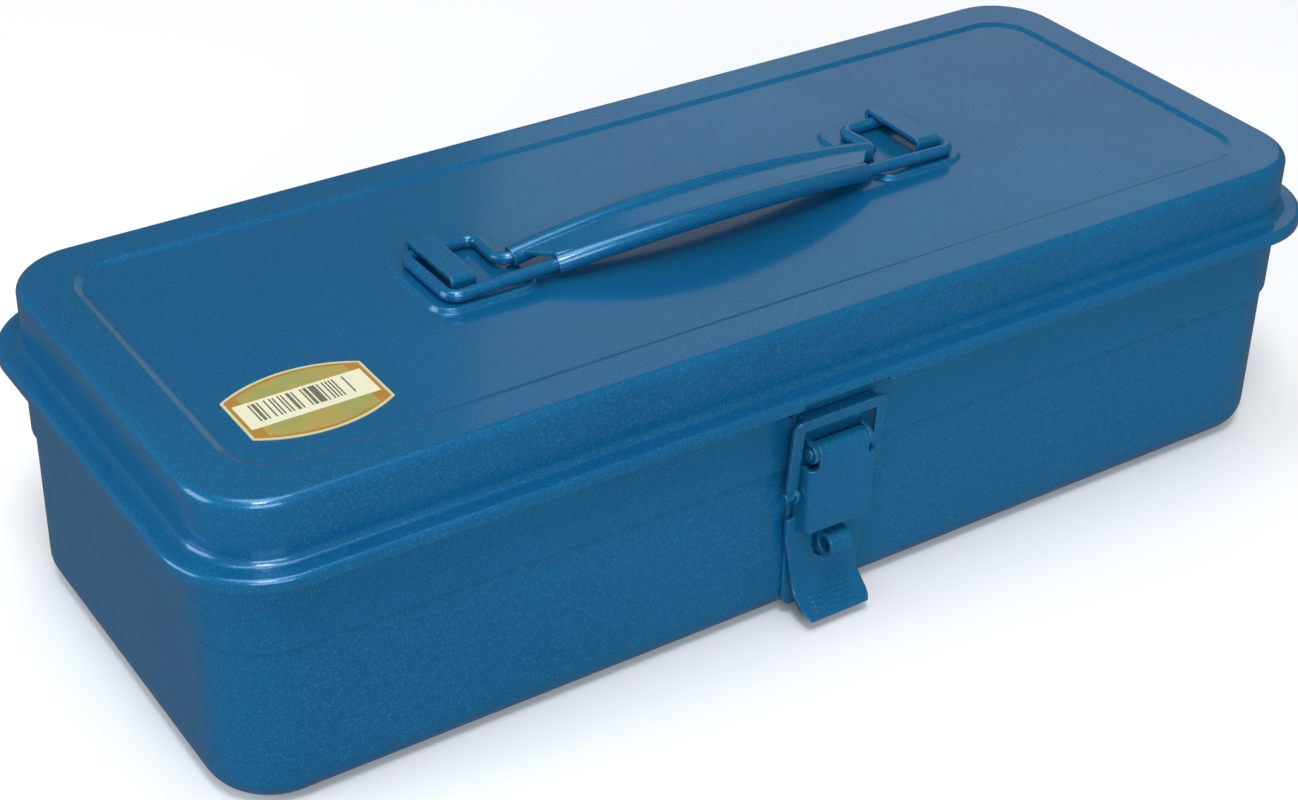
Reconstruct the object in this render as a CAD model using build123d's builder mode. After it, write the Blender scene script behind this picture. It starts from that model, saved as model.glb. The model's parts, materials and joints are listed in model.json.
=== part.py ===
from build123d import *
import math
import os

# Steel tool box: a drawn tub, a hinged lid, a toggle latch and a folding handle.
# Millimetres, X along the length, Y front to back with the latch at -Y, Z up.
# The origin is the centre of the flat underside.

# ---- driving dimensions --------------------------------------------------
SHEET = 1.0                # sheet of the tub, the lid and the handle grip
PLATE = 1.2                # plate of the latch, the hinges and the straps
GAP = 0.3                  # air between neighbours that move apart
WELD = 0.02                # hair of air between faces that are spot-welded

LID_HALF_X = 160.4         # lid skirt, half length
LID_HALF_Y = 62.9          # lid skirt, half depth
CORNER = 18.4              # plan radius of the skirt's corners
FLANGE = 6.1               # how far the lid's rim stands out of the skirt
LID_TOP = 84.9
FLANGE_TOP = 69.1
FLANGE_LOW = 65.9
BORDER = 12.0              # width of the lid's raised border
PANEL_DROP = 0.7           # depth of the lid's recessed panel
PANEL_SLOPE = 68           # degrees from upright of the step round the panel

BAND_HALF_X = 160.9        # upper band of the tub
BAND_HALF_Y = 62.6
STEP_IN = 0.9              # how far the wall steps in below the band
STEP_Z = 45.0
BOTTOM_RADIUS = 8.0

PAD_X = 66.0               # centre of each handle pad
PAD_Y = 1.5
PAD_LENGTH = 29.0
PAD_DEPTH = 33.0
PAD_RISE = 1.2
PAD_CORNER = 6.0

STRAP_X = 70.5             # centre of each handle strap
STRAP_WIDTH = 6.6
STRAP_FRONT = -9.2
STRAP_BACK = 13.9
STRAP_FOOT = 1.6           # how far each clenched foot reaches out under the pad

WIRE = 3.2                 # diameter of the handle wire
HANDLE_PIVOT_Y = 10.7
LOOP_X = 75.9              # outer bar of each wire loop
LOOP_INNER_X = 56.6        # inner leg of each wire loop
LOOP_FRONT_Y = -12.2
LOOP_BEND = 3.2            # radius of the wire's bends, on its centre line
LOOP_TUCK = 9.0            # how far the wire's ends reach into the rolled edges

GRIP_BACK_HALF = 54.5      # half length of the grip's back edge
GRIP_FRONT_HALF = 46.5     # half length of the grip's front edge
GRIP_BACK_Y = -3.4
GRIP_BACK_MID_Y = -4.8
GRIP_FRONT_MID_Y = -18.2
GRIP_Z = 88.0
GRIP_MID_Z = 93.4
CURL = 2.6                 # outer radius of the grip's rolled edges
WEB_DROP = 1.5             # the grip's web lies this far below the rolled edges

HINGE_X = 95.0             # centre of each hinge
HINGE_WIDTH = 26.0
HINGE_PIN_R = 1.3
RUNNING = 0.05             # radial clearance of a turning pin
KNUCKLE_SPLIT = 4.5        # half length of each hinge's middle knuckle
KNUCKLE_GAP = 0.15         # half the air between two knuckles
HINGE_Y = 72.6
HINGE_Z = 66.8

LEVER_Y = -66.9            # lever pivot
LEVER_Z = 50.8
LEVER_PIN_R = 1.4
EAR_X = 8.2                # centre plane of each ear that holds the lever pin
EAR_R = 2.6
BASE_HALF = 11.5           # half width of the latch base
BASE_LOW = 3.2
BASE_HIGH = 57.0
BASE_CORNER = 3.5
LEVER_HALF = 10.3          # half width of the lever's raised face
LEVER_FACE_Y = -69.6
FACE_LOW = 29.0
LEVER_PLATE_Y = -64.6      # front of the lever's lower plate
BAIL_Y = -65.1             # bail pivot
BAIL_Z = 38.6
BAIL_TOP = 61.3
BAIL_HALF = 14.0           # half width of the bail
BAIL_LEG = 3.0
BAIL_BAR = 3.0             # height of the bail's top bar
BAIL_LEAN = 5.0            # degrees that the bail leans outward when closed
BAIL_FOOT = 1.0            # the bail's legs run this far below the pivot
BAIL_CORNER = 2.5
BAIL_EYE_R = 1.95
RIVET_R = 1.2
STAPLE_Y = -67.8
STAPLE_Z = 22.6
STAPLE_EYE = 2.2
STAPLE_WIDTH = 6.5
TAB_BEND_Z = 9.2           # where the lever's tail bends out into the thumb tab
TAB_TIP = (-71.4, 2.4)     # (y, z) of the thumb tab's edge
TAIL_HALF = 12.6           # half width of the tail at its top
TAB_HALF = 10.0            # half width of the thumb tab
TAB_CORNER = 3.4
SLOT_LENGTH = 13.6
SLOT_WIDTH = 8.6

LABEL_X = -122.5
LABEL_Y = -30.0
LABEL_HALF_X = 17.4
LABEL_END_HALF_Y = 8.4     # half length of the label's straight ends
LABEL_MID_HALF_Y = 13.4    # half depth of the label at its bowed middle
LABEL_THICKNESS = 0.15

# ---- derived levels ------------------------------------------------------
PANEL_Z = LID_TOP - PANEL_DROP
PAD_Z = PANEL_Z + PAD_RISE
WIRE_R = WIRE / 2
KNUCKLE_R = HINGE_PIN_R + RUNNING + PLATE
PIVOT_Z = PAD_Z + 0.2 + WIRE_R
STRAP_TOP = PIVOT_Z + WIRE_R + GAP + PLATE
WALL_HALF_X = BAND_HALF_X - STEP_IN
WALL_HALF_Y = BAND_HALF_Y - STEP_IN
RIM_TOP = FLANGE_TOP - SHEET - GAP
RIM_OUT = FLANGE - SHEET - 0.6
RIM_LOW = FLANGE_LOW + 0.3
HOOK_HALF = 12.0
HOOK_TOP = FLANGE_TOP - SHEET
HOOK_WEB_Y = -BAND_HALF_Y - 0.5
HOOK_LOW = 58.7

os.makedirs("parts", exist_ok=True)


def save(part, name):
    part.label = name
    export_step(part, f"parts/{name}.step")


def block(half_x, half_y, radius, low, high, bottom=0.0):
    """A rounded rectangular block, with an optional rounded lower edge."""
    with BuildPart(mode=Mode.PRIVATE) as made:
        with BuildSketch(Plane.XY.offset(low)):
            RectangleRounded(2 * half_x, 2 * half_y, radius)
        extrude(amount=high - low)
        if bottom:
            fillet(made.faces().sort_by(Axis.Z)[0].edges(), bottom)
    return made.part


def strip(points, radius, thickness, x_low, x_high):
    """Sheet bent along a line of (y, z) points, lying on the line's left-hand side."""
    line = [Vector(y, z) for y, z in points]
    runs = [(after - before).normalized() for before, after in zip(line, line[1:])]
    across = [Vector(-run.Y, run.X) * thickness for run in runs]
    far_line = [line[0] + across[0]]
    near_radii = []
    far_radii = []
    for point, run_in, run_out in zip(line[1:], runs, runs[1:]):
        bend = run_in.X * run_out.Y - run_in.Y * run_out.X
        half_turn = math.radians(run_in.get_angle(run_out)) / 2
        middle = Vector(-run_in.Y - run_out.Y, run_in.X + run_out.X).normalized()
        far_line.append(point + middle * (thickness / math.cos(half_turn)))
        near_radii.append(radius + thickness if bend > 0 else radius)
        far_radii.append(radius if bend > 0 else radius + thickness)
    far_line.append(line[-1] + across[-1])
    with BuildPart(mode=Mode.PRIVATE) as made:
        with BuildSketch(Plane.YZ.offset(x_low)):
            with BuildLine():
                if near_radii:
                    FilletPolyline(*line, radius=near_radii)
                    FilletPolyline(*far_line, radius=far_radii)
                Line(line[0], far_line[0])
                Line(line[-1], far_line[-1])
            make_face()
        extrude(amount=x_high - x_low)
    return made.part


def rod(radius, x_low, x_high, y, z):
    """A round bar along X."""
    with BuildPart(mode=Mode.PRIVATE) as made:
        with BuildSketch(Plane.YZ.offset(x_low)):
            with Locations((y, z)):
                Circle(radius)
        extrude(amount=x_high - x_low)
    return made.part


# ---- tub -----------------------------------------------------------------
with BuildPart() as tub_shell:
    add(block(WALL_HALF_X, WALL_HALF_Y, CORNER - STEP_IN, 0, STEP_Z + 1, BOTTOM_RADIUS))
    add(block(BAND_HALF_X, BAND_HALF_Y, CORNER, STEP_Z, RIM_TOP))
    fillet(tub_shell.edges().filter_by_position(Axis.Z, STEP_Z - 0.01, STEP_Z + 0.01), 0.4)
    add(block(BAND_HALF_X + RIM_OUT, BAND_HALF_Y + RIM_OUT, CORNER + RIM_OUT, RIM_LOW, RIM_TOP))
    trough = block(BAND_HALF_X + RIM_OUT - SHEET, BAND_HALF_Y + RIM_OUT - SHEET,
                   CORNER + RIM_OUT - SHEET, RIM_LOW - 1, RIM_TOP - SHEET)
    trough_core = block(BAND_HALF_X, BAND_HALF_Y, CORNER, RIM_LOW - 2, RIM_TOP)
    add(trough - trough_core, mode=Mode.SUBTRACT)
    add(block(WALL_HALF_X - SHEET, WALL_HALF_Y - SHEET, CORNER - STEP_IN - SHEET,
              SHEET, STEP_Z + 2, BOTTOM_RADIUS - SHEET), mode=Mode.SUBTRACT)
    add(block(BAND_HALF_X - SHEET, BAND_HALF_Y - SHEET, CORNER - SHEET,
              STEP_Z + SHEET, RIM_TOP + 1), mode=Mode.SUBTRACT)
    # the rim is cut away where the lid's hook comes down
    with BuildSketch(Plane.XY.offset(RIM_LOW - 1)):
        with Locations((0, -BAND_HALF_Y - 5)):
            Rectangle(2 * HOOK_HALF + 3, 10)
    extrude(amount=RIM_TOP - RIM_LOW + 2, mode=Mode.SUBTRACT)
save(tub_shell.part, "tub_shell")

# ---- lid -----------------------------------------------------------------
with BuildPart() as lid_shell:
    add(block(LID_HALF_X + FLANGE, LID_HALF_Y + FLANGE, CORNER + FLANGE, FLANGE_LOW, FLANGE_TOP))
    add(block(LID_HALF_X, LID_HALF_Y, CORNER, FLANGE_TOP - 1, LID_TOP))
    fillet(lid_shell.faces().sort_by(Axis.Z)[-1].edges(), 2.4)
    flange_face = lid_shell.faces().filter_by(Axis.Z).sort_by(Axis.Z)[1]
    fillet(flange_face.outer_wire().edges(), 1.3)
    fillet(lid_shell.faces().filter_by(Axis.Z).sort_by(Axis.Z)[1].inner_wires()[0].edges(), 2.0)
    with BuildSketch(Plane.XY.offset(LID_TOP)):
        RectangleRounded(2 * (LID_HALF_X - BORDER), 2 * (LID_HALF_Y - BORDER), CORNER - 6)
    extrude(amount=-PANEL_DROP, taper=PANEL_SLOPE, mode=Mode.SUBTRACT)
    for side in (-1, 1):
        with BuildSketch(Plane.XY.offset(PANEL_Z)):
            with Locations((side * PAD_X, PAD_Y)):
                RectangleRounded(PAD_LENGTH, PAD_DEPTH, PAD_CORNER)
        extrude(amount=PAD_RISE, taper=35)
    # inside of the pressing
    add(block(LID_HALF_X + FLANGE - SHEET, LID_HALF_Y + FLANGE - SHEET, CORNER + FLANGE - SHEET,
              FLANGE_LOW - 1, FLANGE_TOP - SHEET), mode=Mode.SUBTRACT)
    add(block(LID_HALF_X - SHEET, LID_HALF_Y - SHEET, CORNER - SHEET,
              FLANGE_LOW, PANEL_Z - SHEET), mode=Mode.SUBTRACT)
    border_room = block(LID_HALF_X - 2 * SHEET, LID_HALF_Y - 2 * SHEET, CORNER - 2 * SHEET,
                        PANEL_Z - SHEET - 1, LID_TOP - SHEET)
    border_core = block(LID_HALF_X - BORDER + 1, LID_HALF_Y - BORDER + 1, CORNER - 5,
                        PANEL_Z - SHEET - 2, LID_TOP)
    add(border_room - border_core, mode=Mode.SUBTRACT)
    for side in (-1, 1):
        with BuildSketch(Plane.XY.offset(PANEL_Z - SHEET - 1)):
            with Locations((side * PAD_X, PAD_Y)):
                RectangleRounded(PAD_LENGTH - 4, PAD_DEPTH - 4, PAD_CORNER - 2)
        extrude(amount=PAD_RISE + 1, mode=Mode.SUBTRACT)
        with BuildSketch(Plane.XY.offset(PANEL_Z - 2)):
            leg_places = [(side * STRAP_X, y) for y in (STRAP_FRONT + PLATE / 2, STRAP_BACK - PLATE / 2)]
            with Locations(*leg_places):
                Rectangle(STRAP_WIDTH + 0.6, PLATE + 0.4)
        extrude(amount=6, mode=Mode.SUBTRACT)
    # shallow notch in the lip above the latch
    with BuildSketch(Plane.XZ.offset(LID_HALF_Y + 2)):
        with Locations((0, FLANGE_LOW)):
            RectangleRounded(2 * HOOK_HALF + 2, 2.4, 0.9)
    extrude(amount=FLANGE + 1, mode=Mode.SUBTRACT)
save(lid_shell.part, "lid_shell")

# ---- hook under the lid's rim --------------------------------------------
lid_hook_path = [
    (HOOK_WEB_Y - 2.7, HOOK_LOW),
    (HOOK_WEB_Y, HOOK_LOW),
    (HOOK_WEB_Y, HOOK_TOP - WELD),
    (HOOK_WEB_Y - 4.2, HOOK_TOP - WELD),
]
lid_hook = strip(lid_hook_path, 0.4, 1.0, -HOOK_HALF, HOOK_HALF)
save(lid_hook, "lid_hook")

# ---- label ---------------------------------------------------------------
with BuildPart() as label:
    with BuildSketch(Plane.XY.offset(PANEL_Z)):
        with BuildLine():
            left, right = LABEL_X - LABEL_HALF_X, LABEL_X + LABEL_HALF_X
            back, front = LABEL_Y + LABEL_END_HALF_Y, LABEL_Y - LABEL_END_HALF_Y
            ThreePointArc((left, back), (LABEL_X, LABEL_Y + LABEL_MID_HALF_Y), (right, back))
            Line((right, back), (right, front))
            ThreePointArc((right, front), (LABEL_X, LABEL_Y - LABEL_MID_HALF_Y), (left, front))
            Line((left, front), (left, back))
        make_face()
    extrude(amount=LABEL_THICKNESS)
save(label.part, "label")

# ---- handle straps -------------------------------------------------------
foot_z = PAD_Z - SHEET - 0.1 - PLATE
strap_path = [
    (STRAP_FRONT - STRAP_FOOT, foot_z),
    (STRAP_FRONT + PLATE, foot_z),
    (STRAP_FRONT + PLATE, STRAP_TOP - PLATE),
    (STRAP_BACK - PLATE, STRAP_TOP - PLATE),
    (STRAP_BACK - PLATE, foot_z),
    (STRAP_BACK + STRAP_FOOT, foot_z),
]
for side, name in ((-1, "left"), (1, "right")):
    low = side * STRAP_X - STRAP_WIDTH / 2
    strap = strip(strap_path, 0.3, PLATE, low, low + STRAP_WIDTH)
    save(strap, f"handle_strap_{name}")

# ---- handle grip ---------------------------------------------------------
with BuildPart() as handle_grip:
    arch_rise = GRIP_MID_Z - GRIP_Z
    with BuildSketch(Plane.XZ.offset(25)):
        with BuildLine():
            web_top = CURL - WEB_DROP
            ThreePointArc((-GRIP_BACK_HALF - 3, GRIP_Z + web_top), (0, GRIP_MID_Z + web_top),
                          (GRIP_BACK_HALF + 3, GRIP_Z + web_top))
            offset(amount=SHEET, side=Side.RIGHT)
        make_face()
    extrude(amount=-25)
    with BuildSketch(Plane.XY.offset(GRIP_Z - 6)):
        with BuildLine():
            Line((GRIP_FRONT_HALF, LOOP_FRONT_Y), (GRIP_BACK_HALF, GRIP_BACK_Y))
            ThreePointArc((GRIP_BACK_HALF, GRIP_BACK_Y), (0, GRIP_BACK_MID_Y), (-GRIP_BACK_HALF, GRIP_BACK_Y))
            Line((-GRIP_BACK_HALF, GRIP_BACK_Y), (-GRIP_FRONT_HALF, LOOP_FRONT_Y))
            ThreePointArc((-GRIP_FRONT_HALF, LOOP_FRONT_Y), (0, GRIP_FRONT_MID_Y),
                          (GRIP_FRONT_HALF, LOOP_FRONT_Y))
        make_face()
    extrude(amount=20, mode=Mode.INTERSECT)
    curl_lines = (
        (GRIP_FRONT_HALF, LOOP_FRONT_Y, GRIP_FRONT_MID_Y),
        (GRIP_BACK_HALF, GRIP_BACK_Y, GRIP_BACK_MID_Y),
    )
    for half, y_end, y_mid in curl_lines:
        with BuildLine() as curl_line:
            ThreePointArc((-half, y_end, GRIP_Z), (0, y_mid, GRIP_MID_Z), (half, y_end, GRIP_Z))
        start = Plane(origin=curl_line.line @ 0, z_dir=curl_line.line % 0)
        with BuildSketch(start):
            Circle(CURL)
        sweep(path=curl_line.line)
        with BuildSketch(start):
            Circle(CURL - SHEET + 0.25)
        sweep(path=curl_line.line, mode=Mode.SUBTRACT)
save(handle_grip.part, "handle_grip")

# ---- wire loops at the handle's ends -------------------------------------
front_slope = 2 * (GRIP_MID_Z - GRIP_Z) / GRIP_FRONT_HALF
front_bow = 2 * (GRIP_FRONT_MID_Y - LOOP_FRONT_Y) / GRIP_FRONT_HALF
back_slope = 2 * (GRIP_MID_Z - GRIP_Z) / GRIP_BACK_HALF
back_bow = 2 * (GRIP_BACK_MID_Y - GRIP_BACK_Y) / GRIP_BACK_HALF
loop_points = [
    (GRIP_FRONT_HALF - LOOP_TUCK, LOOP_FRONT_Y + front_bow * LOOP_TUCK, GRIP_Z + front_slope * LOOP_TUCK),
    (GRIP_FRONT_HALF + 1, LOOP_FRONT_Y, GRIP_Z),
    (LOOP_X, LOOP_FRONT_Y, PIVOT_Z),
    (LOOP_X, HANDLE_PIVOT_Y, PIVOT_Z),
    (LOOP_INNER_X, HANDLE_PIVOT_Y, PIVOT_Z),
    (GRIP_BACK_HALF + 3, GRIP_BACK_Y, GRIP_Z - 0.4),
    (GRIP_BACK_HALF - LOOP_TUCK, GRIP_BACK_Y + back_bow * LOOP_TUCK, GRIP_Z + back_slope * LOOP_TUCK),
]
for side, name in ((-1, "left"), (1, "right")):
    placed = [(side * x, y, z) for x, y, z in loop_points]
    with BuildPart() as handle_loop:
        with BuildLine() as loop_line:
            FilletPolyline(*placed, radius=(8, LOOP_BEND, LOOP_BEND, LOOP_BEND, LOOP_BEND))
        with BuildSketch(Plane(origin=loop_line.line @ 0, z_dir=loop_line.line % 0)):
            Circle(WIRE_R)
        sweep(path=loop_line.line)
    save(handle_loop.part, f"handle_loop_{name}")

# ---- latch base, welded to the tub's front wall ----------------------------
BASE_BAND_Y = -BAND_HALF_Y - WELD
BASE_WALL_Y = -WALL_HALF_Y - WELD
base_path = [
    (BASE_WALL_Y, BASE_LOW),
    (BASE_WALL_Y, STEP_Z - 2.8),
    (BASE_BAND_Y, STEP_Z - 1.0),
    (BASE_BAND_Y, BASE_HIGH),
]
with BuildPart() as latch_base:
    add(strip(base_path, 0.5, PLATE, -BASE_HALF, BASE_HALF))
    with BuildSketch(Plane.XZ.offset(BAND_HALF_Y - 5)):
        with Locations((0, (BASE_LOW + BASE_HIGH) / 2)):
            RectangleRounded(2 * BASE_HALF, BASE_HIGH - BASE_LOW, BASE_CORNER)
    extrude(amount=10, mode=Mode.INTERSECT)
    for side in (-1, 1):
        with BuildSketch(Plane.YZ.offset(side * EAR_X - PLATE / 2)):
            with BuildLine():
                Polyline((BASE_BAND_Y - 0.5, LEVER_Z + 4), (LEVER_Y, LEVER_Z + EAR_R),
                         (LEVER_Y, LEVER_Z - EAR_R), (BASE_BAND_Y - 0.5, LEVER_Z - 4), close=True)
            make_face()
            with Locations((LEVER_Y, LEVER_Z)):
                Circle(EAR_R)
        extrude(amount=PLATE)
    with BuildSketch(Plane.YZ.offset(-BASE_HALF)):
        with Locations((LEVER_Y, LEVER_Z)):
            Circle(LEVER_PIN_R + WELD)
    extrude(amount=2 * BASE_HALF, mode=Mode.SUBTRACT)
save(latch_base.part, "latch_base")

# ---- padlock staple ------------------------------------------------------
with BuildPart() as padlock_staple:
    root_y = BASE_WALL_Y - PLATE - WELD
    with BuildSketch(Plane.YZ.offset(-STAPLE_WIDTH / 2)):
        with BuildLine():
            eye_out = STAPLE_EYE + PLATE
            Line((root_y, STAPLE_Z - eye_out), (STAPLE_Y, STAPLE_Z - eye_out))
            ThreePointArc((STAPLE_Y, STAPLE_Z - eye_out), (STAPLE_Y - eye_out, STAPLE_Z),
                          (STAPLE_Y, STAPLE_Z + eye_out))
            Line((STAPLE_Y, STAPLE_Z + eye_out), (root_y, STAPLE_Z + eye_out))
            Line((root_y, STAPLE_Z + eye_out), (root_y, STAPLE_Z - eye_out))
        make_face()
        with Locations((STAPLE_Y, STAPLE_Z)):
            Circle(STAPLE_EYE, mode=Mode.SUBTRACT)
    extrude(amount=STAPLE_WIDTH)
save(padlock_staple.part, "padlock_staple")

# ---- lever pin -----------------------------------------------------------
save(rod(LEVER_PIN_R, -EAR_X - PLATE / 2 - 0.6, EAR_X + PLATE / 2 + 0.6, LEVER_Y, LEVER_Z), "lever_pin")

# ---- latch lever ---------------------------------------------------------
CHEEK_IN = LEVER_HALF - PLATE
LEVER_BACK_Y = LEVER_PLATE_Y + PLATE
KNUCKLE_HALF = EAR_X - PLATE / 2 - 0.25
ROLL_R = LEVER_Y - LEVER_FACE_Y
NOTCH_Z = LEVER_Z - 3.6

tab_path = [TAB_TIP, (LEVER_BACK_Y, TAB_BEND_Z), (LEVER_BACK_Y, FACE_LOW + 2)]
tail_sheet = strip(tab_path, 5.0, PLATE, -TAIL_HALF - 1, TAIL_HALF + 1)
right_side = [(TAIL_HALF, FACE_LOW + 2), (TAIL_HALF, 25), (TAB_HALF, 12), (TAB_HALF, TAB_TIP[1])]
right_radii = [1.0, 3.0, 3.0, TAB_CORNER]
left_side = [(-x, z) for x, z in reversed(right_side)]
with BuildPart() as tail_outline:
    with BuildSketch(Plane.XZ.offset(BAND_HALF_Y - 3)):
        with BuildLine():
            FilletPolyline(*right_side, *left_side, radius=right_radii + right_radii[::-1], close=True)
        make_face()
        with Locations((0, STAPLE_Z + 0.4)):
            SlotOverall(SLOT_LENGTH, SLOT_WIDTH, rotation=90, mode=Mode.SUBTRACT)
    extrude(amount=20)
lever_tail = tail_sheet & tail_outline.part

with BuildPart() as latch_lever:
    # raised face and its side cheeks
    with BuildSketch(Plane.XY.offset(FACE_LOW - 4)):
        with Locations((0, (LEVER_FACE_Y + LEVER_BACK_Y) / 2)):
            Rectangle(2 * LEVER_HALF, LEVER_BACK_Y - LEVER_FACE_Y)
        with Locations((0, (LEVER_FACE_Y + LEVER_BACK_Y) / 2 + PLATE)):
            Rectangle(2 * CHEEK_IN, LEVER_BACK_Y - LEVER_FACE_Y, mode=Mode.SUBTRACT)
    extrude(amount=NOTCH_Z - FACE_LOW + 4)
    upright = latch_lever.edges().filter_by(Axis.Z)
    fillet(upright.filter_by(lambda e: abs(e.center().Y - LEVER_FACE_Y) < 0.01), 1.5)
    with BuildSketch(Plane.YZ.offset(-LEVER_HALF)):
        with BuildLine():
            Polyline((LEVER_FACE_Y, NOTCH_Z), (LEVER_Y + 1.2, NOTCH_Z), (LEVER_BACK_Y, BAIL_Z + 4),
                     (LEVER_BACK_Y, FACE_LOW - 3), (LEVER_PLATE_Y - 1.6, FACE_LOW - 0.5),
                     (LEVER_FACE_Y, FACE_LOW), close=True)
        make_face()
    extrude(amount=2 * LEVER_HALF, mode=Mode.INTERSECT)
    # top of the face, rolled round the pin
    with BuildSketch(Plane.YZ.offset(-KNUCKLE_HALF)):
        with Locations((LEVER_Y, LEVER_Z)):
            Circle(ROLL_R)
        with Locations((LEVER_FACE_Y + PLATE / 2, (LEVER_Z + NOTCH_Z - 1) / 2)):
            Rectangle(PLATE, LEVER_Z - NOTCH_Z + 1)
        with Locations((LEVER_Y, LEVER_Z)):
            Circle(LEVER_PIN_R + RUNNING, mode=Mode.SUBTRACT)
    extrude(amount=2 * KNUCKLE_HALF)
    # lower plate and thumb tab
    add(lever_tail)
    with BuildSketch(Plane.YZ.offset(-LEVER_HALF - 1)):
        with Locations((BAIL_Y, BAIL_Z)):
            Circle(RIVET_R + WELD)
    extrude(amount=2 * LEVER_HALF + 2, mode=Mode.SUBTRACT)
save(latch_lever.part, "latch_lever")

# ---- bail and its rivets -------------------------------------------------
EYE_OUT = LEVER_HALF + 0.35 + PLATE
bail_plane = Plane(origin=(0, BAIL_Y, BAIL_Z), x_dir=(1, 0, 0), z_dir=(0, -1, 0)).rotated((BAIL_LEAN, 0, 0))
BAIL_REACH = BAIL_TOP - BAIL_Z
with BuildPart() as latch_bail:
    with BuildSketch(bail_plane.offset(-PLATE / 2)):
        with Locations((0, (BAIL_REACH - BAIL_FOOT) / 2)):
            RectangleRounded(2 * BAIL_HALF, BAIL_REACH + BAIL_FOOT, BAIL_CORNER)
        with Locations((0, (BAIL_REACH - BAIL_FOOT) / 2 - BAIL_BAR)):
            Rectangle(2 * (BAIL_HALF - BAIL_LEG), BAIL_REACH + BAIL_FOOT, mode=Mode.SUBTRACT)
    extrude(amount=PLATE)
    # ledge that reaches in over the lid's hook
    with BuildSketch(bail_plane.offset(PLATE / 2)):
        with Locations((0, BAIL_REACH - PLATE / 2)):
            Rectangle(2 * (BAIL_HALF - BAIL_LEG), PLATE)
    extrude(amount=-PLATE - 1.9)
    for side in (-1, 1):
        with BuildSketch(Plane.YZ.offset(side * (EYE_OUT - PLATE / 2) - PLATE / 2)):
            with Locations((BAIL_Y, BAIL_Z)):
                Circle(BAIL_EYE_R)
        extrude(amount=PLATE)
    with BuildSketch(Plane.YZ.offset(-BAIL_HALF)):
        with Locations((BAIL_Y, BAIL_Z)):
            Circle(RIVET_R + RUNNING)
    extrude(amount=2 * BAIL_HALF, mode=Mode.SUBTRACT)
save(latch_bail.part, "latch_bail")

with BuildPart() as bail_rivets:
    for side in (-1, 1):
        ends = sorted((side * (CHEEK_IN - 0.7), side * (BAIL_HALF + 0.5)))
        add(rod(RIVET_R, ends[0], ends[1], BAIL_Y, BAIL_Z))
save(bail_rivets.part, "bail_rivets")

# ---- hinges --------------------------------------------------------------
tub_leaf_path = [
    (HINGE_Y, HINGE_Z - KNUCKLE_R + PLATE),
    (BAND_HALF_Y + WELD, HINGE_Z - KNUCKLE_R + PLATE),
    (BAND_HALF_Y + WELD, STEP_Z + 2.0),
]
lid_leaf_path = [
    (LID_HALF_Y + WELD, LID_TOP - 4.0),
    (LID_HALF_Y + WELD, FLANGE_TOP + 1.0),
    (LID_HALF_Y + FLANGE - 1.0, FLANGE_TOP + 0.3),
    (HINGE_Y, HINGE_Z + KNUCKLE_R - PLATE),
]


def knuckles(spans):
    """Round barrels along the hinge pin, one for each (low, high) span."""
    with BuildPart(mode=Mode.PRIVATE) as made:
        for low, high in spans:
            with BuildSketch(Plane.YZ.offset(low)):
                with Locations((HINGE_Y, HINGE_Z)):
                    Circle(KNUCKLE_R)
            extrude(amount=high - low)
    return made.part


for side, name in ((-1, "left"), (1, "right")):
    centre = side * HINGE_X
    low, high = centre - HINGE_WIDTH / 2, centre + HINGE_WIDTH / 2
    outer_spans = ((low, centre - KNUCKLE_SPLIT - KNUCKLE_GAP), (centre + KNUCKLE_SPLIT + KNUCKLE_GAP, high))
    middle_span = ((centre - KNUCKLE_SPLIT + KNUCKLE_GAP, centre + KNUCKLE_SPLIT - KNUCKLE_GAP),)
    with BuildPart() as hinge_tub_leaf:
        add(strip(tub_leaf_path, 1.0, PLATE, low, high))
        with BuildSketch(Plane.YZ.offset(centre - KNUCKLE_SPLIT - KNUCKLE_GAP)):
            with Locations((HINGE_Y, HINGE_Z)):
                Rectangle(2 * KNUCKLE_R + 1, 4 * KNUCKLE_R)
        extrude(amount=2 * (KNUCKLE_SPLIT + KNUCKLE_GAP), mode=Mode.SUBTRACT)
        add(knuckles(outer_spans))
        add(rod(HINGE_PIN_R + RUNNING, low - 1, high + 1, HINGE_Y, HINGE_Z), mode=Mode.SUBTRACT)
    save(hinge_tub_leaf.part, f"hinge_tub_leaf_{name}")
    with BuildPart() as hinge_lid_leaf:
        add(strip(lid_leaf_path, 0.8, PLATE, low, high))
        for span_low, span_high in outer_spans:
            with BuildSketch(Plane.YZ.offset(span_low - KNUCKLE_GAP)):
                with Locations((HINGE_Y, HINGE_Z)):
                    Rectangle(2 * KNUCKLE_R + 1, 4 * KNUCKLE_R)
            extrude(amount=span_high - span_low + 2 * KNUCKLE_GAP, mode=Mode.SUBTRACT)
        add(knuckles(middle_span))
        add(rod(HINGE_PIN_R + RUNNING, low - 1, high + 1, HINGE_Y, HINGE_Z), mode=Mode.SUBTRACT)
    save(hinge_lid_leaf.part, f"hinge_lid_leaf_{name}")
    pin = rod(HINGE_PIN_R, low - 0.4, high + 0.4, HINGE_Y, HINGE_Z)
    save(pin, f"hinge_pin_{name}")
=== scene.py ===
import json
import math

import bpy
import bmesh
from mathutils import Matrix, Vector


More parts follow.
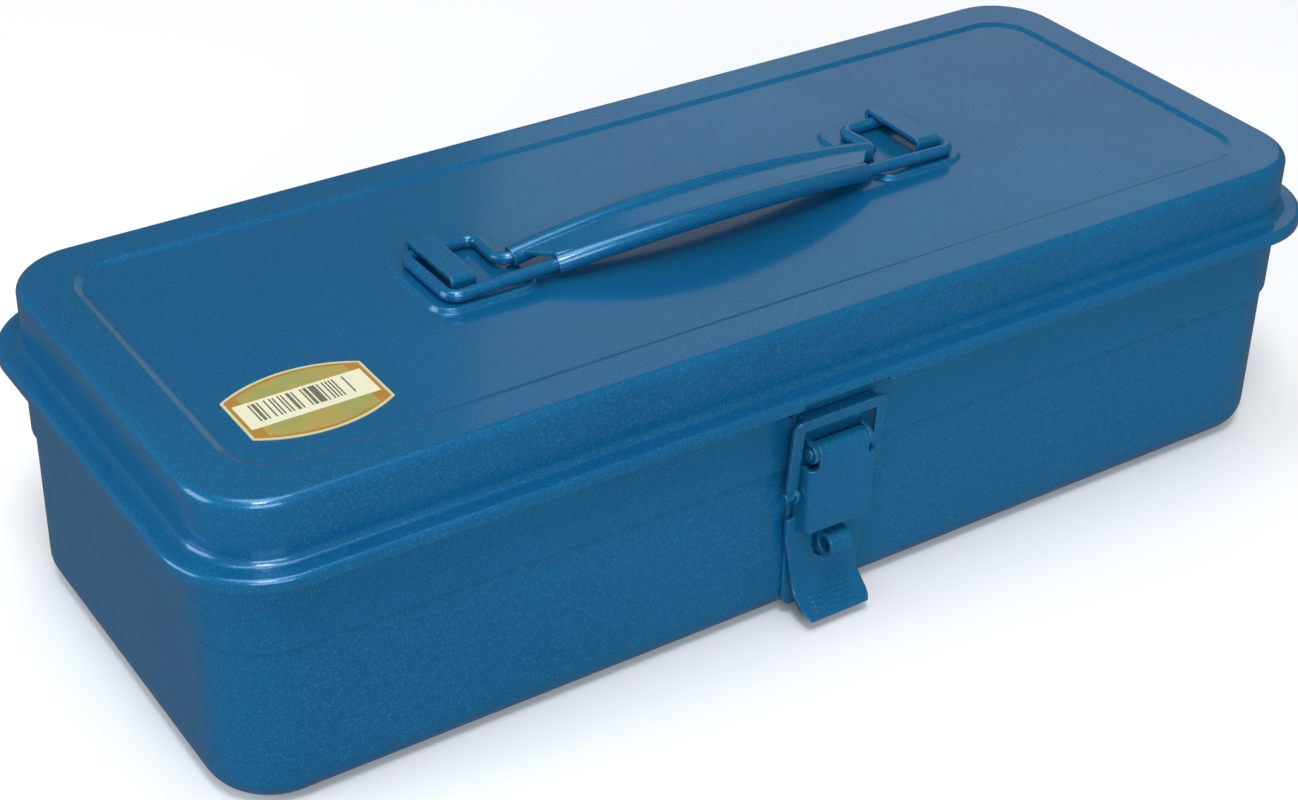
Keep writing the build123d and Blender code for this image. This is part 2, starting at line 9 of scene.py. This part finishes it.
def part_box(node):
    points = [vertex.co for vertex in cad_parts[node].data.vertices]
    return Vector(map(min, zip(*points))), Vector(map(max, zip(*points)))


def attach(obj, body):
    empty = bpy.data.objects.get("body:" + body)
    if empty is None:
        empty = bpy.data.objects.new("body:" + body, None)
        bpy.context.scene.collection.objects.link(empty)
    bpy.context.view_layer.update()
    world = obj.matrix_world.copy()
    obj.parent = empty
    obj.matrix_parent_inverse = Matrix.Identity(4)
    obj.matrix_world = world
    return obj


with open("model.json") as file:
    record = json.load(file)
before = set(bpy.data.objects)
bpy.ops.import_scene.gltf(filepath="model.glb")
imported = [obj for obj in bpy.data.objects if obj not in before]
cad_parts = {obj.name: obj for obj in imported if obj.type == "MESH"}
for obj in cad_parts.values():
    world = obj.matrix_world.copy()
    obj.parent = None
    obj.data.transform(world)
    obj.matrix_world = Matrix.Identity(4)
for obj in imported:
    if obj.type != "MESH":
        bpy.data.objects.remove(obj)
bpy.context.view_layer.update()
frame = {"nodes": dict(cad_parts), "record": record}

MM = 0.001


# ---- camera ----------------------------------------------------------------
CAMERA_AZIMUTH = -34.09      # degrees; 0 looks along +Y
CAMERA_ELEVATION = 31.32
CAMERA_ROLL = 1.44
CAMERA_PLACE = Vector((-0.3179, -0.4512, 0.3808))
CAMERA_LENS = 68.2
CAMERA_SHIFT = (0.004, -0.046)


def make_camera():
    """Camera set by its place and by azimuth, elevation and roll in degrees."""
    azimuth, elevation, roll = map(math.radians, (CAMERA_AZIMUTH, CAMERA_ELEVATION, CAMERA_ROLL))
    back = Vector((math.sin(azimuth) * math.cos(elevation), -math.cos(azimuth) * math.cos(elevation),
                   math.sin(elevation)))
    level_right = (-back).cross(Vector((0, 0, 1))).normalized()
    level_up = level_right.cross(-back)
    right = math.cos(roll) * level_right + math.sin(roll) * level_up
    up = -math.sin(roll) * level_right + math.cos(roll) * level_up
    data = bpy.data.cameras.new("camera")
    data.lens = CAMERA_LENS
    data.shift_x, data.shift_y = CAMERA_SHIFT
    data.clip_start = 0.01
    camera = bpy.data.objects.new("camera", data)
    turn = Matrix((right, up, back)).transposed().to_4x4()
    camera.matrix_world = Matrix.Translation(CAMERA_PLACE) @ turn
    bpy.context.scene.collection.objects.link(camera)
    bpy.context.scene.camera = camera


# ---- light and floor ---------------------------------------------------------
def area_light(name, place, aim, size, power, colour):
    """A rectangular lamp at a place, turned to face the aim."""
    data = bpy.data.lights.new(name, "AREA")
    data.shape = "RECTANGLE"
    data.size, data.size_y = size
    data.energy = power
    data.color = colour
    lamp = bpy.data.objects.new(name, data)
    lamp.location = place
    lamp.rotation_mode = "QUATERNION"
    lamp.rotation_quaternion = (Vector(aim) - Vector(place)).to_track_quat("-Z", "Y")
    bpy.context.scene.collection.objects.link(lamp)


SKY_TINT = (0.90, 0.95, 1.0, 1)
SKY_FILL = 0.45                # sky strength for diffuse light
SKY_GLOSS = 0.12               # sky strength seen in glossy paint
SKY_WHITE = 1.0                # sky strength seen by the camera
FLOOR_HALF = 4.0
FLOOR_DROP = 0.2 * MM
PAPER = (0.95, 0.95, 0.95, 1)


def make_studio():
    """Soft lights, a pale floor, and a world that is white to the camera and dim in reflections."""
    world = bpy.data.worlds.new("studio")
    world.use_nodes = True
    bpy.context.scene.world = world
    tree = world.node_tree
    path = tree.nodes.new("ShaderNodeLightPath")
    shade = tree.nodes["Background"]
    shade.inputs["Color"].default_value = SKY_TINT
    shade.inputs["Strength"].default_value = SKY_FILL
    backdrop = tree.nodes.new("ShaderNodeBackground")
    backdrop.inputs["Strength"].default_value = SKY_WHITE
    room = tree.nodes.new("ShaderNodeBackground")
    room.inputs["Color"].default_value = SKY_TINT
    room.inputs["Strength"].default_value = SKY_GLOSS
    seen = tree.nodes.new("ShaderNodeMixShader")
    glossed = tree.nodes.new("ShaderNodeMixShader")
    tree.links.new(path.outputs["Is Glossy Ray"], glossed.inputs["Fac"])
    tree.links.new(shade.outputs[0], glossed.inputs[1])
    tree.links.new(room.outputs[0], glossed.inputs[2])
    tree.links.new(path.outputs["Is Camera Ray"], seen.inputs["Fac"])
    tree.links.new(glossed.outputs[0], seen.inputs[1])
    tree.links.new(backdrop.outputs[0], seen.inputs[2])
    tree.links.new(seen.outputs[0], tree.nodes["World Output"].inputs["Surface"])

    area_light("overhead", (-0.10, -0.05, 1.45), (0, 0, 0), (0.9, 0.7), 6.5, (1.0, 0.99, 0.97))
    area_light("key", (-0.35, -0.55, 1.30), (0, 0, 0.05), (0.30, 0.30), 6.0, (1.0, 1.0, 1.0))
    area_light("back_card", (1.5, 1.5, 1.0), (0.1, 0, 0.08), (1.2, 1.2), 1.5, (1.0, 0.97, 0.93))
    area_light("fill", (-0.5, -1.3, 0.75), (0, 0, 0.04), (1.0, 0.6), 9.5, (0.95, 0.98, 1.0))
    area_light("side_card", (-1.5, 0.45, 0.55), (-0.1, 0, 0.05), (1.0, 0.8), 9.0, (0.95, 0.98, 1.0))

    floor_mesh = bpy.data.meshes.new("floor")
    corners = [(-FLOOR_HALF, -FLOOR_HALF, 0), (FLOOR_HALF, -FLOOR_HALF, 0),
               (FLOOR_HALF, FLOOR_HALF, 0), (-FLOOR_HALF, FLOOR_HALF, 0)]
    floor_mesh.from_pydata(corners, [], [(0, 1, 2, 3)])
    floor = bpy.data.objects.new("floor", floor_mesh)
    floor.location.z = -FLOOR_DROP
    floor.visible_glossy = False
    paper = bpy.data.materials.new("paper")
    paper.use_nodes = True
    shader = paper.node_tree.nodes["Principled BSDF"]
    shader.inputs["Base Color"].default_value = PAPER
    shader.inputs["Roughness"].default_value = 0.9
    shader.inputs["Specular IOR Level"].default_value = 0.1
    floor_mesh.materials.append(paper)
    bpy.context.scene.collection.objects.link(floor)
    bpy.context.scene.view_settings.view_transform = "Standard"


# ---- material helpers --------------------------------------------------------
class Nodes:
    """Short calls for building one material's node tree."""

    def __init__(self, name):
        self.material = bpy.data.materials.new(name)
        self.material.use_nodes = True
        self.tree = self.material.node_tree
        self.shader = self.tree.nodes["Principled BSDF"]
        self.place = self.add("TexCoord").outputs["Object"]

    def add(self, kind, **settings):
        made = self.tree.nodes.new("ShaderNode" + kind)
        for name, value in settings.items():
            setattr(made, name, value)
        return made

    def put(self, socket, value):
        if isinstance(value, bpy.types.NodeSocket):
            self.tree.links.new(value, socket)
        else:
            socket.default_value = value

    def math(self, operation, first, second=0.0, clamp=False):
        made = self.add("Math", operation=operation, use_clamp=clamp)
        self.put(made.inputs[0], first)
        self.put(made.inputs[1], second)
        return made.outputs[0]

    def noise(self, scale, detail=2.0, roughness=0.5, place=None):
        made = self.add("TexNoise")
        self.put(made.inputs["Vector"], place or self.place)
        made.inputs["Scale"].default_value = scale
        made.inputs["Detail"].default_value = detail
        made.inputs["Roughness"].default_value = roughness
        return made.outputs["Fac"]

    def stretch(self, scale):
        made = self.add("Mapping")
        self.put(made.inputs["Vector"], self.place)
        made.inputs["Scale"].default_value = scale
        return made.outputs[0]

    def span(self, value, low, high, to_low=0.0, to_high=1.0):
        made = self.add("MapRange", interpolation_type="SMOOTHSTEP")
        self.put(made.inputs["Value"], value)
        for name, number in (("From Min", low), ("From Max", high), ("To Min", to_low), ("To Max", to_high)):
            made.inputs[name].default_value = number
        return made.outputs[0]

    def mix(self, share, first, second):
        made = self.add("Mix", data_type="RGBA")
        self.put(made.inputs[0], share)
        self.put(made.inputs[6], first)
        self.put(made.inputs[7], second)
        return made.outputs[2]

    def set(self, **values):
        for name, value in values.items():
            self.put(self.shader.inputs[name.replace("_", " ")], value)


BLUE_DEEP = (0.002, 0.105, 0.260, 1)
BLUE_MID = (0.004, 0.150, 0.335, 1)
BLUE_PALE = (0.045, 0.300, 0.520, 1)
BARE_STEEL = (0.23, 0.27, 0.31, 1)
EDGE_ROUND = 0.55 * MM         # radius that worn and shining edges take
PEEL_DEPTH = 0.12 * MM
PEEL_STRENGTH = 0.12
DRIFT_SHARE = 0.45             # slow drift's part of the tone, the rest is flake


def enamel(name, wear, peel=1.0):
    """Glossy metallic blue paint: drifting tone, flake, painted flake glints, orange peel, edges lightened
    partly by thin paint and partly as a painted highlight, and bare metal on edges.
    """
    n = Nodes(name)
    rounded = n.add("Bevel", samples=6)
    rounded.inputs["Radius"].default_value = EDGE_ROUND
    flat = n.add("NewGeometry").outputs["Normal"]
    across = n.add("VectorMath", operation="DOT_PRODUCT")
    n.put(across.inputs[0], rounded.outputs[0])
    n.put(across.inputs[1], flat)
    edge = n.span(across.outputs["Value"], 0.99, 0.86)
    patchy = n.span(n.noise(220.0, 4.0, 0.65), 0.42, 0.66)
    # edges lightened in colour: partly thin paint, partly a painted highlight of the gloss on rounded edges
    thin_paint_and_sheen = n.math("MULTIPLY", edge, n.span(n.noise(90.0, 3.0), 0.30, 0.70, 0.25, 0.9))
    bare = n.math("MULTIPLY", n.math("MULTIPLY", edge, patchy), wear, clamp=True)

    drift = n.span(n.noise(9.0, 3.0), 0.32, 0.68)
    flake = n.span(n.noise(1500.0, 2.0, 0.7), 0.30, 0.70)
    slow_part = n.math("MULTIPLY", drift, DRIFT_SHARE)
    fine_part = n.math("MULTIPLY", flake, 1 - DRIFT_SHARE)
    tone = n.math("ADD", slow_part, fine_part, clamp=True)
    paint = n.mix(tone, BLUE_DEEP, BLUE_MID)
    # paler edges mixed in: thin paint together with a painted highlight
    paint = n.mix(n.math("MULTIPLY", thin_paint_and_sheen, 0.5), paint, BLUE_PALE)
    scratch_place = n.stretch((260.0, 22.0, 60.0))
    scratch = n.span(n.noise(1.0, 5.0, 0.8, scratch_place), 0.735, 0.76, 0.0, 0.30)
    paint = n.mix(scratch, paint, BLUE_PALE)
    # painted glints: tiny pale specks in the colour stand in for light caught by the flake
    painted_glint = n.span(n.noise(2600.0, 1.0), 0.55, 0.75, 0.0, 0.45)
    paint = n.mix(painted_glint, paint, BLUE_PALE)
    colour = n.mix(bare, paint, BARE_STEEL)

    rough = n.span(n.noise(30.0, 4.0, 0.6), 0.30, 0.70, 0.30, 0.40)
    bump = n.add("Bump")
    bump.inputs["Strength"].default_value = PEEL_STRENGTH * peel
    bump.inputs["Distance"].default_value = PEEL_DEPTH
    waves = n.math("ADD", n.noise(420.0, 2.0), n.math("MULTIPLY", n.noise(1500.0, 1.0), 0.5))
    n.put(bump.inputs["Height"], waves)
    n.put(bump.inputs["Normal"], rounded.outputs[0])
    n.set(Base_Color=colour, Metallic=0.35, Roughness=rough, Normal=bump.outputs[0])
    n.set(Specular_IOR_Level=0.12, Coat_Weight=0.95, Coat_Roughness=0.12, Coat_IOR=1.55)
    n.set(Coat_Normal=rounded.outputs[0])
    return n.material


# ---- label -------------------------------------------------------------------
LABEL_FOIL = (0.42, 0.33, 0.09, 1)
LABEL_GREEN = (0.33, 0.34, 0.10, 1)
LABEL_GOLD = (0.42, 0.22, 0.035, 1)
LABEL_CREAM = (0.80, 0.77, 0.56, 1)
LABEL_RIM = (0.62, 0.60, 0.36, 1)
LABEL_INK = (0.045, 0.05, 0.03, 1)
LABEL_END_DROP = 5.0 * MM      # how much less deep the label is at its straight ends
LABEL_SOFT = 0.1 * MM          # width over which one ink passes into the next
LABEL_SOFT_LINE = 0.15 * MM
END_BLOCK = 13.4 * MM          # the gold ends begin this far from the middle
CREAM_HALF = 5.2 * MM
CREAM_RISE = 0.4 * MM
BAR_PITCH = 0.42 * MM
BAR_SHARE = 0.52               # share of the slots left blank
BAR_SPAN = 12.6 * MM
BAR_HALF = 3.7 * MM
BAR_RISE = 1.0 * MM
GOLD_INSET = 1.5 * MM
RIM_INSET = 0.6 * MM


def label_print():
    """Printed foil: pale rim, gold line, olive ground, and a cream band with plain bars of mixed width."""
    low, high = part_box("label")
    middle = (low + high) / 2
    half_x, half_y = (high.x - low.x) / 2, (high.y - low.y) / 2
    n = Nodes("label_print")
    parts = n.add("SeparateXYZ")
    n.put(parts.inputs[0], n.place)
    x = n.math("SUBTRACT", parts.outputs["X"], middle.x)
    y = n.math("SUBTRACT", parts.outputs["Y"], middle.y)
    share = n.math("DIVIDE", x, half_x)
    drop = n.math("MULTIPLY", n.math("MULTIPLY", share, share), LABEL_END_DROP)
    depth = n.math("SUBTRACT", half_y, drop)
    from_side = n.math("SUBTRACT", depth, n.math("ABSOLUTE", y))
    from_end = n.math("SUBTRACT", half_x, n.math("ABSOLUTE", x))
    inset = n.math("MINIMUM", from_side, from_end)

    ground = n.mix(n.span(n.noise(160.0, 2.0), 0.35, 0.65), LABEL_FOIL, LABEL_GREEN)
    ends = n.span(n.math("ABSOLUTE", x), END_BLOCK, END_BLOCK + 2 * LABEL_SOFT)
    ground = n.mix(ends, ground, LABEL_GOLD)
    from_cream = n.math("ABSOLUTE", n.math("SUBTRACT", y, CREAM_RISE))
    cream = n.span(from_cream, CREAM_HALF + LABEL_SOFT, CREAM_HALF)
    colour = n.mix(cream, ground, LABEL_CREAM)

    slot = n.math("FLOOR", n.math("MULTIPLY", x, 1 / BAR_PITCH))
    dice = n.add("TexWhiteNoise", noise_dimensions="1D")
    n.put(dice.inputs["W"], slot)
    inked = n.math("GREATER_THAN", dice.outputs["Value"], BAR_SHARE)
    in_width = n.math("LESS_THAN", n.math("ABSOLUTE", x), BAR_SPAN)
    from_bars = n.math("ABSOLUTE", n.math("SUBTRACT", y, BAR_RISE))
    in_height = n.math("LESS_THAN", from_bars, BAR_HALF)
    bars = n.math("MULTIPLY", n.math("MULTIPLY", inked, in_width), in_height)
    colour = n.mix(n.math("MULTIPLY", bars, 0.85), colour, LABEL_INK)

    gold = n.span(inset, GOLD_INSET + LABEL_SOFT_LINE, GOLD_INSET)
    colour = n.mix(gold, colour, LABEL_GOLD)
    rim = n.span(inset, RIM_INSET + LABEL_SOFT_LINE, RIM_INSET)
    colour = n.mix(rim, colour, LABEL_RIM)
    rough = n.span(n.noise(300.0, 3.0), 0.3, 0.7, 0.34, 0.5)
    n.set(Base_Color=colour, Roughness=rough, Metallic=0.15, Specular_IOR_Level=0.4)
    return n.material


# ---- pressed ribs on the thumb tab ---------------------------------------------
RIB_COUNT = 4
RIB_PITCH = 1.35 * MM
RIB_HALF = 6.5 * MM
RIB_WIDTH = 0.40 * MM
RIB_HEIGHT = 0.30 * MM
RIB_SINK = 0.12 * MM
RIB_FIRST = 2.0 * MM           # from the tab's edge to the first rib
TAB_SLOPE = math.radians(40.4)
TAB_PLATE = 1.2 * MM


def make_ribs(paint):
    """A row of low rounded ribs across the thumb tab."""
    lever_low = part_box("latch_lever")[0]
    rise = Vector((0, math.cos(TAB_SLOPE), math.sin(TAB_SLOPE)))
    out = Vector((0, -math.sin(TAB_SLOPE), math.cos(TAB_SLOPE)))
    edge = Vector((0, lever_low.y, lever_low.z + TAB_PLATE * math.cos(TAB_SLOPE)))
    mesh = bpy.data.meshes.new("thumb_ribs")
    shape = bmesh.new()
    for index in range(RIB_COUNT):
        middle = edge + rise * (RIB_FIRST + index * RIB_PITCH) - out * RIB_SINK
        made = bmesh.ops.create_uvsphere(shape, u_segments=16, v_segments=10, radius=1.0)
        for vert in made["verts"]:
            along = math.copysign(RIB_HALF - RIB_WIDTH, vert.co.x) + vert.co.x * RIB_WIDTH
            round_off = rise * vert.co.y * RIB_WIDTH + out * vert.co.z * RIB_HEIGHT
            vert.co = middle + Vector((along, 0, 0)) + round_off
    for face in shape.faces:
        face.smooth = True
    shape.to_mesh(mesh)
    shape.free()
    mesh.materials.append(paint)
    ribs = bpy.data.objects.new("thumb_ribs", mesh)
    bpy.context.scene.collection.objects.link(ribs)
    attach(ribs, "lever")


# ---- finish of each CAD node ---------------------------------------------------
def dress():
    """Give every CAD node the finish of its material slot, and add the ribs."""
    box_paint = enamel("box_paint", 0.10)
    latch_paint = enamel("latch_paint", 0.35, 0.7)
    handle_paint = enamel("handle_paint", 0.25, 0.7)
    finishes = {"latch_enamel": latch_paint, "handle_enamel": handle_paint, "pin_steel": latch_paint,
                "label_foil": label_print()}
    slots = {row["node"]: row["material_slot"] for row in frame["record"]["subparts"]}
    for name, piece in frame["nodes"].items():
        piece.data.materials.clear()
        piece.data.materials.append(finishes.get(slots[name], box_paint))
    make_ribs(latch_paint)


make_camera()
make_studio()
dress()
